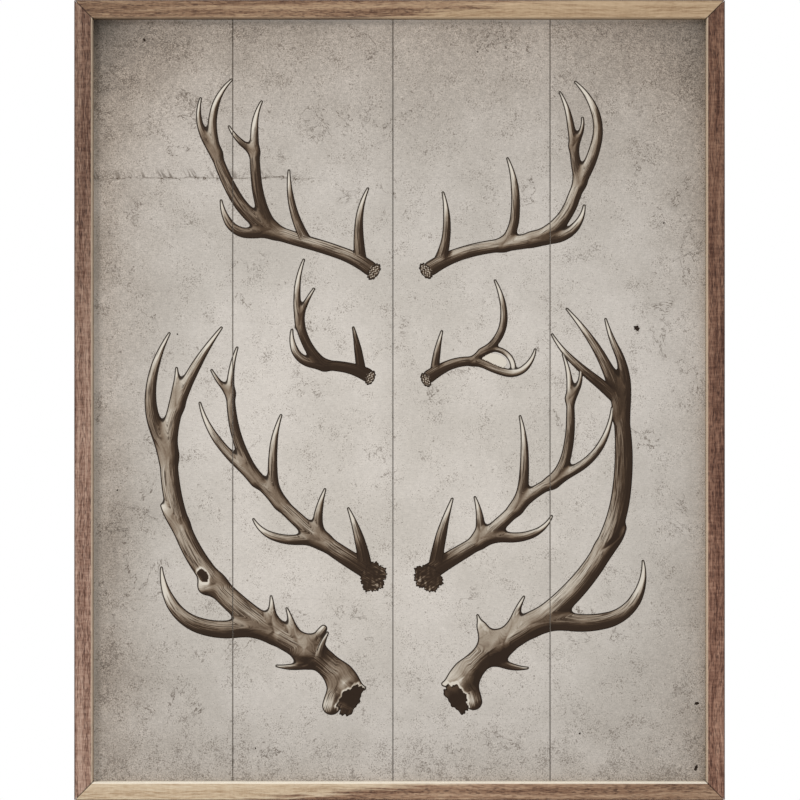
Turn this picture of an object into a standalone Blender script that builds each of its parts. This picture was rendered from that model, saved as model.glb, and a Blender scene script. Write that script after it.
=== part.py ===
"""A framed wall print: four printed boards in a mitred walnut frame, hung by a sawtooth plate.

Metres, +Z up. The print faces -Y, the wall is the plane y = 0, and x = 0 is the middle of the
frame. The origin is the hanger's middle notch, where the wall nail bears.
"""
import math

import bmesh
import bpy
from mathutils import Matrix, Vector

# Driving sizes of the frame
FRAME_WIDTH = 0.4318
FRAME_HEIGHT = 0.5314
FRAME_TOP = 0.009            # height of the frame's top edge above the hanger's notch
RAIL_FACE = 0.012            # width of a rail seen from the front
RAIL_DEPTH = 0.038
RAIL_EASE = 0.0007           # radius on the rails' long edges
WALL_CLEARANCE = 0.0025      # the rails' backs to the wall
FIT_GAP = 0.0003             # between pieces that touch

# The boards, whose front is set back inside the frame
RECESS = 0.0064
BOARD_THICKNESS = 0.0095
BOARD_EASE = 0.00018         # chamfer on the boards' long front edges
BOARD_NAMES = ("board_far_left", "board_mid_left", "board_mid_right", "board_far_right")
BOARD_SEAMS = (-0.1111, -0.0044, 0.1003)

# The battens behind them
BATTEN_HEIGHT = 0.038
BATTEN_THICKNESS = 0.018
BATTEN_EASE = 0.001
BATTEN_INSET = 0.075         # a batten's centre line to the nearer end of the boards

# Fastenings
SCREW_LENGTH = 0.024
SCREW_HEAD_RADIUS = 0.0035
SCREW_HEAD_DEPTH = 0.0026
SCREW_RADIUS = 0.0018
HEAD_SET = 0.0002            # how far a head lies below the wood
HOLE_MOUTH = 0.0010          # how far a hole's cutter stands out of the wood
NAIL_LENGTH = 0.032
NAIL_HEAD_RADIUS = 0.0013
NAIL_HEAD_DEPTH = 0.0008
NAIL_RADIUS = 0.0008
NAIL_SPACING = 0.020
WEDGE_LEG = 0.0052
WEDGE_HALF_ANGLE = math.radians(55)
WEDGE_THICKNESS = 0.0006
WEDGE_LENGTH = 0.010
ROUND_SIDES = 20

# The sawtooth hanger and the bumpers, which touch the wall
PLATE_LENGTH = 0.044
PLATE_TOP = 0.0075
PLATE_FOOT = -0.0015
PLATE_THICKNESS = 0.0010
PLATE_BOW = 0.0012           # how far its middle stands behind its ends
PLATE_FLAT_END = 0.0065
PLATE_RAMP = 0.0030
PLATE_CORNER = 0.0015
TOOTH_PITCH = 0.0025
TOOTHED_HALF = 0.0125
PLATE_NAIL_X = 0.0190
PLATE_NAIL_RADIUS = 0.0008
PLATE_NAIL_HEAD_RADIUS = 0.0021
PLATE_NAIL_HEAD_DEPTH = 0.0010
PLATE_NAIL_LENGTH = 0.012
PLATE_NAIL_GAP = 0.00015     # the head clear of the plate, and of the wall behind it
BUMPER_RADIUS = 0.0045
BUMPER_CROWN = 0.55          # share of the radius that the flat crown keeps
BUMPER_WALL = 0.35           # share of the height that stands upright
BUMPER_X = 0.195

# Planes that follow from them
HALF_WIDTH = FRAME_WIDTH / 2
FRAME_FOOT = FRAME_TOP - FRAME_HEIGHT
FRAME_MIDDLE = FRAME_TOP - FRAME_HEIGHT / 2
RAIL_BACK = -WALL_CLEARANCE
RAIL_FRONT = RAIL_BACK - RAIL_DEPTH
BOARD_FRONT = RAIL_FRONT + RECESS
BOARD_BACK = BOARD_FRONT + BOARD_THICKNESS
BOARD_HALF_WIDTH = HALF_WIDTH - RAIL_FACE - FIT_GAP
BOARD_TOP = FRAME_TOP - RAIL_FACE - FIT_GAP
BOARD_FOOT = FRAME_FOOT + RAIL_FACE + FIT_GAP
BATTEN_FRONT = BOARD_BACK + FIT_GAP
BATTEN_BACK = BATTEN_FRONT + BATTEN_THICKNESS
BATTEN_HEIGHTS = {"upper": BOARD_TOP - BATTEN_INSET, "lower": BOARD_FOOT + BATTEN_INSET}
PLATE_FRONT = RAIL_BACK + FIT_GAP


def clear_scene():
    for ob in list(bpy.data.objects):
        bpy.data.objects.remove(ob, do_unlink=True)


def make_material(name, colour, roughness, metallic=0.0):
    mat = bpy.data.materials.new(name)
    mat.use_nodes = True
    shader = mat.node_tree.nodes["Principled BSDF"]
    shader.inputs["Base Color"].default_value = (*colour, 1.0)
    shader.inputs["Roughness"].default_value = roughness
    shader.inputs["Metallic"].default_value = metallic
    return mat


def add_object(name, bm, mat):
    """Closes off a bmesh as a named object whose faces point outwards."""
    bmesh.ops.remove_doubles(bm, verts=bm.verts, dist=1e-7)
    bmesh.ops.recalc_face_normals(bm, faces=bm.faces)
    mesh = bpy.data.meshes.new(name)
    bm.to_mesh(mesh)
    bm.free()
    ob = bpy.data.objects.new(name, mesh)
    bpy.context.scene.collection.objects.link(ob)
    if mat:
        mesh.materials.append(mat)
    return ob


def make_cutter(name, bm):
    ob = add_object(name, bm, None)
    ob.hide_render = True
    ob.display_type = "WIRE"
    return ob


def cut(target, cutter):
    mod = target.modifiers.new("Cut " + cutter.name, "BOOLEAN")
    mod.operation = "DIFFERENCE"
    mod.object = cutter


def extrude_into(bm, outline, start, travel):
    """Adds the solid swept by an outline of 3D points, moved by start, along travel."""
    verts = [bm.verts.new(Vector(p) + Vector(start)) for p in outline]
    face = bm.faces.new(verts)
    swept = bmesh.ops.extrude_face_region(bm, geom=[face])["geom"]
    moved = [v for v in swept if isinstance(v, bmesh.types.BMVert)]
    bmesh.ops.translate(bm, verts=moved, vec=travel)


def rounded_rectangle(width, depth, radius, steps=3):
    """Corner points (u, v), with u from 0 to width and v from 0 to depth."""
    points = []
    centres = (
        (width - radius, depth - radius, 0.0),
        (radius, depth - radius, 0.5 * math.pi),
        (radius, radius, math.pi),
        (width - radius, radius, 1.5 * math.pi),
    )
    for cu, cv, first in centres:
        for i in range(steps + 1):
            turn = first + 0.5 * math.pi * i / steps
            points.append((cu + radius * math.cos(turn), cv + radius * math.sin(turn)))
    return points


def turn_into(bm, profile, base, axis):
    """Adds the solid of a profile of (radius, distance) turned about an axis through base.

    The profile starts and ends on the axis; distances run from base along the axis.
    """
    direction = Vector(axis).normalized()
    side = direction.orthogonal().normalized()
    base = Vector(base)
    verts = [bm.verts.new(base + direction * d + side * r) for r, d in profile]
    edges = [bm.edges.new(pair) for pair in zip(verts, verts[1:])]
    bmesh.ops.spin(
        bm, geom=verts + edges, cent=base, axis=direction,
        angle=2 * math.pi, steps=ROUND_SIDES, use_merge=True,
    )
    bmesh.ops.remove_doubles(bm, verts=bm.verts, dist=1e-7)


def headed_profile(head_radius, head_depth, radius, length, countersunk=False):
    """A screw or nail, from the top of its head down to its point."""
    rim = [] if countersunk else [(head_radius, head_depth)]
    return [
        (0.0, 0.0),
        (head_radius, 0.0),
        *rim,
        (radius, head_depth),
        (radius, length - 1.5 * radius),
        (0.0, length),
    ]


def clearance_profile(head_radius, head_depth, radius, length, countersunk=False):
    """The hole for such a screw or nail: a fit gap wider all over, and open above its head."""
    wide = headed_profile(
        head_radius + FIT_GAP, head_depth + FIT_GAP, radius + FIT_GAP, length + FIT_GAP, countersunk
    )
    return [(0.0, -HOLE_MOUTH), (head_radius + FIT_GAP, -HOLE_MOUTH), *wide[1:]]


def add_fastener(name, steel, profile, hole, spot, inwards, targets):
    """A turned screw or nail whose head is at spot, and its hole in every target."""
    bm = bmesh.new()
    turn_into(bm, profile, spot, inwards)
    add_object(name, bm, steel)
    bm = bmesh.new()
    turn_into(bm, hole, spot, inwards)
    cutter = make_cutter("hole_" + name, bm)
    for target in targets:
        cut(target, cutter)


def build_rails(walnut):
    """Four rails of one rounded section, each ending on the 45 degree mitre planes."""
    section = rounded_rectangle(RAIL_FACE, RAIL_DEPTH, RAIL_EASE)
    mitre_gap = FIT_GAP / math.sqrt(2)
    middle = Vector((0, 0, FRAME_MIDDLE))
    sides = {
        "left": (FRAME_WIDTH, FRAME_HEIGHT, 90),
        "right": (FRAME_WIDTH, FRAME_HEIGHT, -90),
        "top": (FRAME_HEIGHT, FRAME_WIDTH, 0),
        "bottom": (FRAME_HEIGHT, FRAME_WIDTH, 180),
    }
    rails = {}
    for side, (across, along, angle) in sides.items():
        bm = bmesh.new()
        ends = []
        for end in (-1, 1):
            ends.append([
                bm.verts.new((
                    end * (along / 2 - inward - mitre_gap),
                    RAIL_FRONT + back,
                    across / 2 - inward,
                ))
                for inward, back in section
            ])
        bm.faces.new(ends[0])
        bm.faces.new(reversed(ends[1]))
        for i in range(len(section)):
            j = (i + 1) % len(section)
            bm.faces.new((ends[0][i], ends[0][j], ends[1][j], ends[1][i]))
        turn = Matrix.Rotation(math.radians(-angle), 4, "Y")
        bmesh.ops.transform(bm, matrix=Matrix.Translation(middle) @ turn, verts=bm.verts)
        rails[side] = add_object("rail_" + side, bm, walnut)
    return rails


def build_boards(printed):
    """Four boards side by side, with their long front edges eased, so each seam is a fine groove."""
    edges = [-BOARD_HALF_WIDTH]
    for seam in BOARD_SEAMS:
        edges += [seam - FIT_GAP / 2, seam + FIT_GAP / 2]
    edges.append(BOARD_HALF_WIDTH)
    boards = []
    for i, name in enumerate(BOARD_NAMES):
        left, right = edges[2 * i], edges[2 * i + 1]
        outline = (
            (left, BOARD_BACK, 0),
            (right, BOARD_BACK, 0),
            (right, BOARD_FRONT + BOARD_EASE, 0),
            (right - BOARD_EASE, BOARD_FRONT, 0),
            (left + BOARD_EASE, BOARD_FRONT, 0),
            (left, BOARD_FRONT + BOARD_EASE, 0),
        )
        bm = bmesh.new()
        extrude_into(bm, outline, (0, 0, BOARD_FOOT), (0, 0, BOARD_TOP - BOARD_FOOT))
        boards.append((add_object(name, bm, printed), (left + right) / 2))
    return boards


def build_battens(pine):
    """Two battens across the boards' backs, between the side rails."""
    section = rounded_rectangle(BATTEN_THICKNESS, BATTEN_HEIGHT, BATTEN_EASE, steps=2)
    battens = {}
    for place, height in BATTEN_HEIGHTS.items():
        outline = [(0, BATTEN_FRONT + u, height - BATTEN_HEIGHT / 2 + v) for u, v in section]
        bm = bmesh.new()
        extrude_into(bm, outline, (-BOARD_HALF_WIDTH, 0, 0), (2 * BOARD_HALF_WIDTH, 0, 0))
        battens[place] = add_object("batten_" + place, bm, pine)
    return battens


def build_board_screws(steel, boards, battens):
    """One countersunk screw from each batten into the middle of each board."""
    sizes = (SCREW_HEAD_RADIUS, SCREW_HEAD_DEPTH, SCREW_RADIUS, SCREW_LENGTH)
    screw = headed_profile(*sizes, countersunk=True)
    hole = clearance_profile(*sizes, countersunk=True)
    for place, height in BATTEN_HEIGHTS.items():
        for number, (board, middle) in enumerate(boards, start=1):
            spot = (middle, BATTEN_BACK - HEAD_SET, height)
            name = f"board_screw_{place}_{number}"
            add_fastener(name, steel, screw, hole, spot, (0, -1, 0), (battens[place], board))


def build_rail_nails(steel, rails, battens):
    """Two nails through each side rail into each end of each batten."""
    depth = (BATTEN_FRONT + BATTEN_BACK) / 2
    sizes = (NAIL_HEAD_RADIUS, NAIL_HEAD_DEPTH, NAIL_RADIUS, NAIL_LENGTH)
    nail = headed_profile(*sizes)
    hole = clearance_profile(*sizes)
    for side, sign in (("left", -1), ("right", 1)):
        for place, height in BATTEN_HEIGHTS.items():
            for level, shift in (("high", 0.5), ("low", -0.5)):
                spot = (sign * (HALF_WIDTH - HEAD_SET), depth, height + shift * NAIL_SPACING)
                name = f"rail_nail_{side}_{place}_{level}"
                targets = (rails[side], battens[place])
                add_fastener(name, steel, nail, hole, spot, (-sign, 0, 0), targets)


def wedge_outline(thickness, leg):
    """A V in the plane of the frame: its spine at the origin and its legs opening towards -X.

    Each leg is a strip of the given thickness about a line at the half angle to the X axis.
    """
    run, rise = math.cos(WEDGE_HALF_ANGLE), math.sin(WEDGE_HALF_ANGLE)
    half = thickness / 2
    spine = half / rise
    tip_x, tip_y = -leg * run, leg * rise
    shift_x, shift_y = half * rise, half * run
    return [
        (spine, 0.0),
        (tip_x + shift_x, tip_y + shift_y),
        (tip_x - shift_x, tip_y - shift_y),
        (-spine, 0.0),
        (tip_x - shift_x, -tip_y + shift_y),
        (tip_x + shift_x, -tip_y - shift_y),
    ]


def extruded_wedge(outline, spine, outwards, sideways, start, travel):
    """The solid of a V outline set at a corner and swept along Y."""
    bm = bmesh.new()
    points = [spine + outwards * u + sideways * v for u, v in outline]
    extrude_into(bm, points, (0, start, 0), (0, travel, 0))
    return bm


def build_corner_wedges(steel, rails):
    """A V of sheet steel driven into the back of each mitre, its spine on the joint."""
    back = RAIL_BACK - HEAD_SET
    wedge = wedge_outline(WEDGE_THICKNESS, WEDGE_LEG)
    slot = wedge_outline(WEDGE_THICKNESS + 2 * FIT_GAP, WEDGE_LEG + FIT_GAP)
    lift = WEDGE_LEG * math.cos(WEDGE_HALF_ANGLE) / 2
    for across, x_sign in (("left", -1), ("right", 1)):
        for upright, z_sign in (("top", 1), ("bottom", -1)):
            outwards = Vector((x_sign, 0, z_sign)).normalized()
            sideways = Vector((-z_sign, 0, x_sign)).normalized()
            corner_x = x_sign * (HALF_WIDTH - RAIL_FACE / 2)
            corner_z = FRAME_MIDDLE + z_sign * (FRAME_HEIGHT - RAIL_FACE) / 2
            spine = Vector((corner_x, 0, corner_z)) + outwards * lift
            place = (spine, outwards, sideways)
            name = f"corner_wedge_{upright}_{across}"
            add_object(name, extruded_wedge(wedge, *place, back, -WEDGE_LENGTH), steel)
            reach = HOLE_MOUTH + WEDGE_LENGTH + FIT_GAP
            cutter = make_cutter("slot_" + name, extruded_wedge(slot, *place, back + HOLE_MOUTH, -reach))
            cut(rails[across], cutter)
            cut(rails[upright], cutter)


def plate_bow(x):
    """How far the plate stands behind its flat ends, reached by a smooth ramp."""
    reach = (PLATE_LENGTH / 2 - PLATE_FLAT_END - abs(x)) / PLATE_RAMP
    t = min(max(reach, 0.0), 1.0)
    return PLATE_BOW * t * t * (3 - 2 * t)


def plate_stations():
    """The plate's outline along X, as (x, foot, top): teeth in the middle, cut corners at the ends."""
    half = PLATE_LENGTH / 2
    step = TOOTH_PITCH / 2
    teeth = round(TOOTHED_HALF / step)
    stations = []
    for i in range(-teeth, teeth + 1):
        foot = 0.0 if i % 2 == 0 else PLATE_FOOT
        stations.append((i * step, foot, PLATE_TOP))
    for sign in (-1, 1):
        for x in (half - PLATE_FLAT_END, half - PLATE_CORNER):
            stations.append((sign * x, PLATE_FOOT, PLATE_TOP))
        stations.append((sign * half, PLATE_FOOT + PLATE_CORNER, PLATE_TOP - PLATE_CORNER))
    return sorted(stations)


def build_hanger(steel, top_rail):
    """A toothed plate, bowed away from the rail, with a nail through each flat end."""
    middle = (PLATE_TOP + PLATE_FOOT) / 2
    bm = bmesh.new()
    front, rear = [], []
    for x, foot, top in plate_stations():
        for row, back in ((front, 0.0), (rear, PLATE_THICKNESS)):
            y = PLATE_FRONT + plate_bow(x) + back
            row.append([bm.verts.new((x, y, z)) for z in (foot, middle, top)])
    for i in range(len(front) - 1):
        for k in range(2):
            bm.faces.new((front[i][k], front[i + 1][k], front[i + 1][k + 1], front[i][k + 1]))
            bm.faces.new((rear[i][k + 1], rear[i + 1][k + 1], rear[i + 1][k], rear[i][k]))
        for k in (0, 2):
            bm.faces.new((front[i][k], rear[i][k], rear[i + 1][k], front[i + 1][k]))
    for i in (0, -1):
        for k in range(2):
            bm.faces.new((front[i][k], front[i][k + 1], rear[i][k + 1], rear[i][k]))
    plate = add_object("hanger_plate", bm, steel)

    sizes = (PLATE_NAIL_HEAD_RADIUS, PLATE_NAIL_HEAD_DEPTH, PLATE_NAIL_RADIUS, PLATE_NAIL_LENGTH)
    crown = [(0.0, 0.0), (0.6 * PLATE_NAIL_HEAD_RADIUS, 0.0)]
    shoulder = [(PLATE_NAIL_HEAD_RADIUS, 0.5 * PLATE_NAIL_HEAD_DEPTH)]
    nail = crown + shoulder + headed_profile(*sizes)[2:]
    hole_radius = PLATE_NAIL_RADIUS + FIT_GAP
    hole = [
        (0.0, -HOLE_MOUTH),
        (hole_radius, -HOLE_MOUTH),
        (hole_radius, PLATE_NAIL_LENGTH),
        (0.0, PLATE_NAIL_LENGTH + hole_radius),
    ]
    head = PLATE_FRONT + PLATE_THICKNESS + PLATE_NAIL_GAP + PLATE_NAIL_HEAD_DEPTH
    for side, sign in (("left", -1), ("right", 1)):
        spot = (sign * PLATE_NAIL_X, head, middle)
        name = "hanger_nail_" + side
        add_fastener(name, steel, nail, hole, spot, (0, -1, 0), (plate, top_rail))


def build_bumpers(rubber):
    """Two low domes on the back of the bottom rail, whose crowns touch the wall."""
    height = WALL_CLEARANCE - FIT_GAP
    profile = [(0.0, 0.0), (BUMPER_RADIUS, 0.0)]
    for i in range(5):
        turn = 0.5 * math.pi * i / 4
        profile.append((
            BUMPER_RADIUS * (BUMPER_CROWN + (1 - BUMPER_CROWN) * math.cos(turn)),
            height * (BUMPER_WALL + (1 - BUMPER_WALL) * math.sin(turn)),
        ))
    profile.append((0.0, height))
    for name, sign in (("left", -1), ("right", 1)):
        bm = bmesh.new()
        base = (sign * BUMPER_X, RAIL_BACK + FIT_GAP, FRAME_FOOT + RAIL_FACE / 2)
        turn_into(bm, profile, base, (0, 1, 0))
        add_object("bumper_" + name, bm, rubber)


def main():
    clear_scene()
    walnut = make_material("walnut", (0.29, 0.18, 0.138), 0.55)
    printed = make_material("printed_board", (0.485, 0.44, 0.392), 0.75)
    pine = make_material("pine", (0.62, 0.45, 0.27), 0.7)
    steel = make_material("zinc_steel", (0.55, 0.55, 0.53), 0.38, metallic=1.0)
    rubber = make_material("rubber", (0.03, 0.03, 0.03), 0.8)

    rails = build_rails(walnut)
    boards = build_boards(printed)
    battens = build_battens(pine)
    build_board_screws(steel, boards, battens)
    build_rail_nails(steel, rails, battens)
    build_corner_wedges(steel, rails)
    build_hanger(steel, rails["top"])
    build_bumpers(rubber)


main()
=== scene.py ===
import math
from functools import partialmethod

import bpy
import numpy as np
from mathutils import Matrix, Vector


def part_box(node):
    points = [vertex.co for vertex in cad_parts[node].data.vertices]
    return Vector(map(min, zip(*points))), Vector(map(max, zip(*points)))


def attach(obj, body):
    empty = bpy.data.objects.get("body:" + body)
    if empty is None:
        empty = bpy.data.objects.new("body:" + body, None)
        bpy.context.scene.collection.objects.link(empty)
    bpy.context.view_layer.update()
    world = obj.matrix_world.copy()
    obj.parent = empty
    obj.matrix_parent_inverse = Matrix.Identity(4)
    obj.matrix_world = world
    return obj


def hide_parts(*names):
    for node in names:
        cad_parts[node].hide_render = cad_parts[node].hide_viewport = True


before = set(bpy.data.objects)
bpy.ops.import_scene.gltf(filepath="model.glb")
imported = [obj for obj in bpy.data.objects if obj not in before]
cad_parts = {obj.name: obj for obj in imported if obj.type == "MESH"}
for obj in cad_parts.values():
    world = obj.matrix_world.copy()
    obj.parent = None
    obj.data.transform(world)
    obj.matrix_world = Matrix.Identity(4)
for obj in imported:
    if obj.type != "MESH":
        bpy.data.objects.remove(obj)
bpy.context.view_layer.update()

# The frame's own measures, in metres: the print faces -Y, x = 0 is its middle and +Z is up.
BOARDS = ("board_far_left", "board_mid_left", "board_mid_right", "board_far_right")
BOARD_BOXES = {name: [np.array(corner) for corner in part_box(name)] for name in BOARDS}
LEFT_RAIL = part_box("rail_left")
TOP_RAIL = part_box("rail_top")
BOTTOM_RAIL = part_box("rail_bottom")
RAIL_FACE = LEFT_RAIL[1][0] - LEFT_RAIL[0][0]
RAIL_FRONT = LEFT_RAIL[0][1]
FRAME_TOP, FRAME_FOOT = TOP_RAIL[1][2], BOTTOM_RAIL[0][2]
HALF_WIDTH = -LEFT_RAIL[0][0]
MIDDLE_Z = (FRAME_TOP + FRAME_FOOT) / 2
PRINT_LEFT, PRINT_FRONT, PRINT_FOOT = BOARD_BOXES[BOARDS[0]][0]
PRINT_RIGHT, _, PRINT_TOP = BOARD_BOXES[BOARDS[-1]][1]
MM = 0.001
RAIL_SNUG = 0.0002       # how much closer a board sits to the rail beside it than its CAD solid


# ---------------------------------------------------------------- meshes

def build_mesh(name, points, faces, materials, slots=None, loops_uv=None, fields=None, crease=40):
    """A mesh object from an array of points and a list of arrays of faces, one array for each
    number of corners. slots gives each face's material, loops_uv each corner's place on the map
    named OFBake, and fields the named numbers that the materials read at each point."""
    mesh = bpy.data.meshes.new(name)
    corners = np.concatenate([f.reshape(-1) for f in faces]).astype(np.int32)
    totals = np.concatenate([np.full(len(f), f.shape[1]) for f in faces])
    starts = np.concatenate([[0], np.cumsum(totals)[:-1]]).astype(np.int32)
    mesh.vertices.add(len(points))
    mesh.vertices.foreach_set("co", np.asarray(points, np.float32).ravel())
    mesh.loops.add(len(corners))
    mesh.loops.foreach_set("vertex_index", corners)
    mesh.polygons.add(len(totals))
    mesh.polygons.foreach_set("loop_start", starts)
    mesh.polygons.foreach_set("use_smooth", np.ones(len(totals), bool))
    for material in materials:
        mesh.materials.append(material)
    if slots is not None:
        mesh.polygons.foreach_set("material_index", np.asarray(slots, np.int32))
    if loops_uv is not None:
        layer = mesh.uv_layers.new(name="OFBake")
        layer.data.foreach_set("uv", np.asarray(loops_uv, np.float32).ravel())
    for key, values in (fields or {}).items():
        field = mesh.attributes.new(key, "FLOAT", "POINT")
        field.data.foreach_set("value", np.asarray(values, np.float32).ravel())
    mesh.update(calc_edges=True)
    mesh.validate()
    mesh.set_sharp_from_angle(angle=math.radians(crease))
    ob = bpy.data.objects.new(name, mesh)
    bpy.context.scene.collection.objects.link(ob)
    return ob


def fit(ob, node=None):
    """The piece rides on the one body and hides the CAD node that it stands for."""
    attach(ob, "root")
    if node:
        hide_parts(node)
    return ob


def refinish(finish, *nodes):
    """CAD nodes whose shape is right keep it and take a better finish."""
    for name in nodes:
        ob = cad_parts[name]
        if not ob.material_slots:
            ob.data.materials.append(None)
        for place in ob.material_slots:
            place.link = "OBJECT"
            place.material = finish


def blend(a, b, share):
    return a * (1 - share) + b * share


def grid_quads(rows, columns, wrap=False):
    """Corner numbers of the quads of a grid whose points are numbered along each row. wrap joins
    the last column to the first."""
    across = columns if wrap else columns - 1
    r, c = np.meshgrid(np.arange(rows - 1), np.arange(across), indexing="ij")
    n = (c + 1) % columns
    quads = np.stack([r * columns + c, r * columns + n, (r + 1) * columns + n, (r + 1) * columns + c], -1)
    return quads.reshape(-1, 4)


def tube_faces(rows, columns):
    """The quads of a grid that closes on itself, and its two flat ends."""
    ring = np.arange(columns)
    return grid_quads(rows, columns, wrap=True), np.stack([ring[::-1], (rows - 1) * columns + ring])


def rounded_section(width, depth, radius, steps):
    """The outline of a rectangle from (0, 0) to (width, depth) with quarter-circle corners: each
    corner point is its centre plus the radius at evenly spaced angles."""
    turn = np.linspace(0, math.pi / 2, steps + 1)
    parts = []
    for cu, cv, first in (
        (width - radius, depth - radius, 0),
        (radius, depth - radius, 0.5),
        (radius, radius, 1.0),
        (width - radius, radius, 1.5),
    ):
        angle = turn + first * math.pi
        parts.append(np.stack([cu + radius * np.cos(angle), cv + radius * np.sin(angle)], 1))
    return np.concatenate(parts)


def finer(outline, longest):
    """The closed outline with each edge cut into equal lengths no longer than the given one."""
    ends = np.roll(outline, -1, axis=0)
    counts = np.maximum(np.ceil(np.linalg.norm(ends - outline, axis=1) / longest), 1).astype(int)
    first = np.repeat(np.arange(len(outline)), counts)
    step = np.arange(counts.sum()) - np.repeat(np.cumsum(counts) - counts, counts)
    share = (step / counts[first])[:, None]
    return blend(outline[first], ends[first], share)


# ---------------------------------------------------------------- finishes

WHITE = (1.0, 1.0, 1.0, 1.0)


def paint(red, green, blue):
    """A colour named by its screen values from 0 to 255, as the linear colour that a shader takes:
    each value to the power 2.4 with the usual straight toe."""
    s = np.array([red, green, blue]) / 255
    linear = np.where(s <= 0.04045, s / 12.92, ((s + 0.055) / 1.055) ** 2.4)
    return (*[float(v) for v in linear], 1.0)


class Wire:
    """A value on its way through a finish's nodes. Arithmetic on it adds Math nodes."""

    def __init__(self, finish, socket):
        self.finish, self.socket = finish, socket

    def math(self, operation, *others):
        return self.finish.node("Math", dict(enumerate((self, *others))), operation=operation)

    __add__ = partialmethod(math, "ADD")
    __sub__ = partialmethod(math, "SUBTRACT")
    __mul__ = partialmethod(math, "MULTIPLY")
    __abs__ = partialmethod(math, "ABSOLUTE")
    least = partialmethod(math, "MINIMUM")
    most = partialmethod(math, "MAXIMUM")

    def decay(self, reach):
        """exp(-value / reach)"""
        return (self * (-1 / reach)).math("EXPONENT")

    def spread(self, low, high, to_low=0.0, to_high=1.0):
        """The value from low..high carried smoothly to to_low..to_high, held at both ends."""
        inputs = {"Value": self, "From Min": low, "From Max": high, "To Min": to_low, "To Max": to_high}
        return self.finish.node("MapRange", inputs, interpolation_type="SMOOTHSTEP")

    def ramp(self, *stops):
        ramped = self.finish.node("ValToRGB", {0: self})
        elements = ramped.socket.node.color_ramp.elements
        while len(elements) < len(stops):
            elements.new(1.0)
        for element, (spot, colour) in zip(elements, stops):
            element.position, element.color = spot, colour
        return ramped

    def split(self):
        parts = self.finish.node("SeparateXYZ", {0: self}).socket.node.outputs
        return [Wire(self.finish, part) for part in parts]

    def scaled(self, *scale):
        return self.finish.node("Mapping", {"Vector": self, "Scale": scale})

    def moved(self, *shift):
        return self.finish.node("Mapping", {"Vector": self, "Location": shift})


class Finish:
    """A Principled material, and short ways to add its nodes."""

    def __init__(self, name, roughness=0.6, metallic=0.0, specular=0.5):
        self.material = bpy.data.materials.new(name)
        self.material.use_nodes = True
        self.tree = self.material.node_tree
        self.shader = self.tree.nodes["Principled BSDF"]
        self.put("Roughness", roughness)
        self.put("Metallic", metallic)
        self.put("Specular IOR Level", specular)

    def put(self, key, value, node=None):
        """Links a wire to an input, or sets the input to a constant. The node is the shader unless
        another is given."""
        socket = (node or self.shader).inputs[key]
        if isinstance(value, Wire):
            self.tree.links.new(value.socket, socket)
        else:
            socket.default_value = value

    def node(self, kind, inputs, output=0, **settings):
        made = self.tree.nodes.new("ShaderNode" + kind)
        for key, value in settings.items():
            setattr(made, key, value)
        for key, value in inputs.items():
            self.put(key, value, made)
        return Wire(self, made.outputs[output])

    def place(self):
        return self.node("TexCoord", {}, "Object")

    def field(self, name):
        return self.node("Attribute", {}, "Fac", attribute_name=name)

    def join(self, x, y, z=0.0):
        return self.node("CombineXYZ", {0: x, 1: y, 2: z})

    def reach(self, a, b):
        """Square root of a^2 + b^2."""
        return self.node("VectorMath", {0: self.join(a, b)}, "Value", operation="LENGTH")

    def noise(self, vector, scale=1.0, detail=3.0, rough=0.5, warp=0.0):
        """Noise at a place, which may be given as its two or three parts."""
        if isinstance(vector, tuple):
            vector = self.join(*vector)
        inputs = {"Vector": vector, "Scale": scale, "Detail": detail, "Roughness": rough, "Distortion": warp}
        return self.node("TexNoise", inputs)

    def mix(self, share, a, b, way="MIX"):
        return self.node("Mix", {0: share, 6: a, 7: b}, 2, data_type="RGBA", blend_type=way)

    def dimmed(self, colour, value):
        """The colour times a grey."""
        return self.mix(1.0, colour, self.node("CombineColor", {0: value, 1: value, 2: value}), "MULTIPLY")

    def wear(self, colour, height, depth, strength, roughness=None):
        """Gives the shader its colour, bump and, if it varies, roughness, and returns the material."""
        self.put("Base Color", colour)
        inputs = {"Height": height, "Distance": depth, "Strength": strength}
        self.put("Normal", self.node("Bump", inputs, "Normal"))
        if roughness:
            self.put("Roughness", roughness)
        return self.material


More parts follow.
